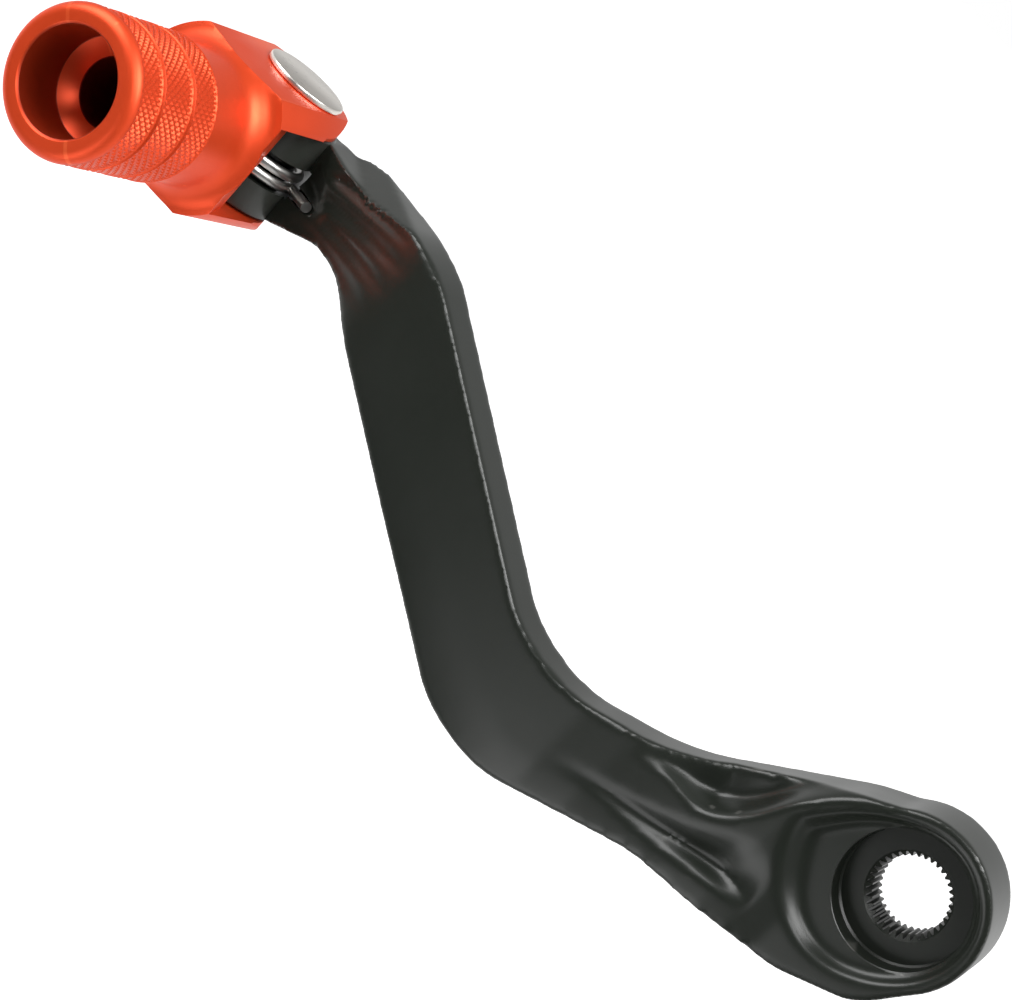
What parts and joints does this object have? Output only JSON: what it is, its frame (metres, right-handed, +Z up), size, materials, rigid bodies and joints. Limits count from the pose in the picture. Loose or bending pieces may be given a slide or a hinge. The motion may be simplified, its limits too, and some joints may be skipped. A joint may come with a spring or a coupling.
{
  "type": "motorcycle gear shift lever",
  "caption": "Cranked forged gear shift lever with a splined hub and a sprung folding tip with a knurled hollow barrel.",
  "frame": {"origin": "on the spline's axis, at the seat of the retaining screw in the hub's counterbore", "axes": "+Y along the gear shaft's axis, outward from the engine; +X from the shaft to the tip's pivot, the lever's length; +Z up"},
  "size_m": [0.1859, 0.0628, 0.0491],
  "materials": {
    "black_anodised_aluminium": "gloss black anodised forging",
    "orange_anodised_aluminium": "satin orange anodised",
    "stainless_steel": "finely ground",
    "spring_steel": "bright drawn wire",
    "bronze": "machined",
    "seal_rubber": "matte"
  },
  "bodies": {
    "arm": {"shift_arm": "black_anodised_aluminium", "pivot_bush": "bronze", "upper_seal": "seal_rubber", "lower_seal": "seal_rubber", "return_spring": "spring_steel"},
    "tip": {"folding_tip": "orange_anodised_aluminium", "pivot_pin": "stainless_steel", "retaining_ring": "spring_steel"}
  },
  "joints": [
    {"name": "tip_fold", "type": "hinge", "parent": "arm", "child": "tip", "pos_m": [0.1565, -0.009, 0], "axis": [0, 0, 1], "range_deg": [0, 40], "stiffness_Nm_per_rad": 0.4, "springref_deg": -57.3, "deforming": ["return_spring"]}
  ]
}
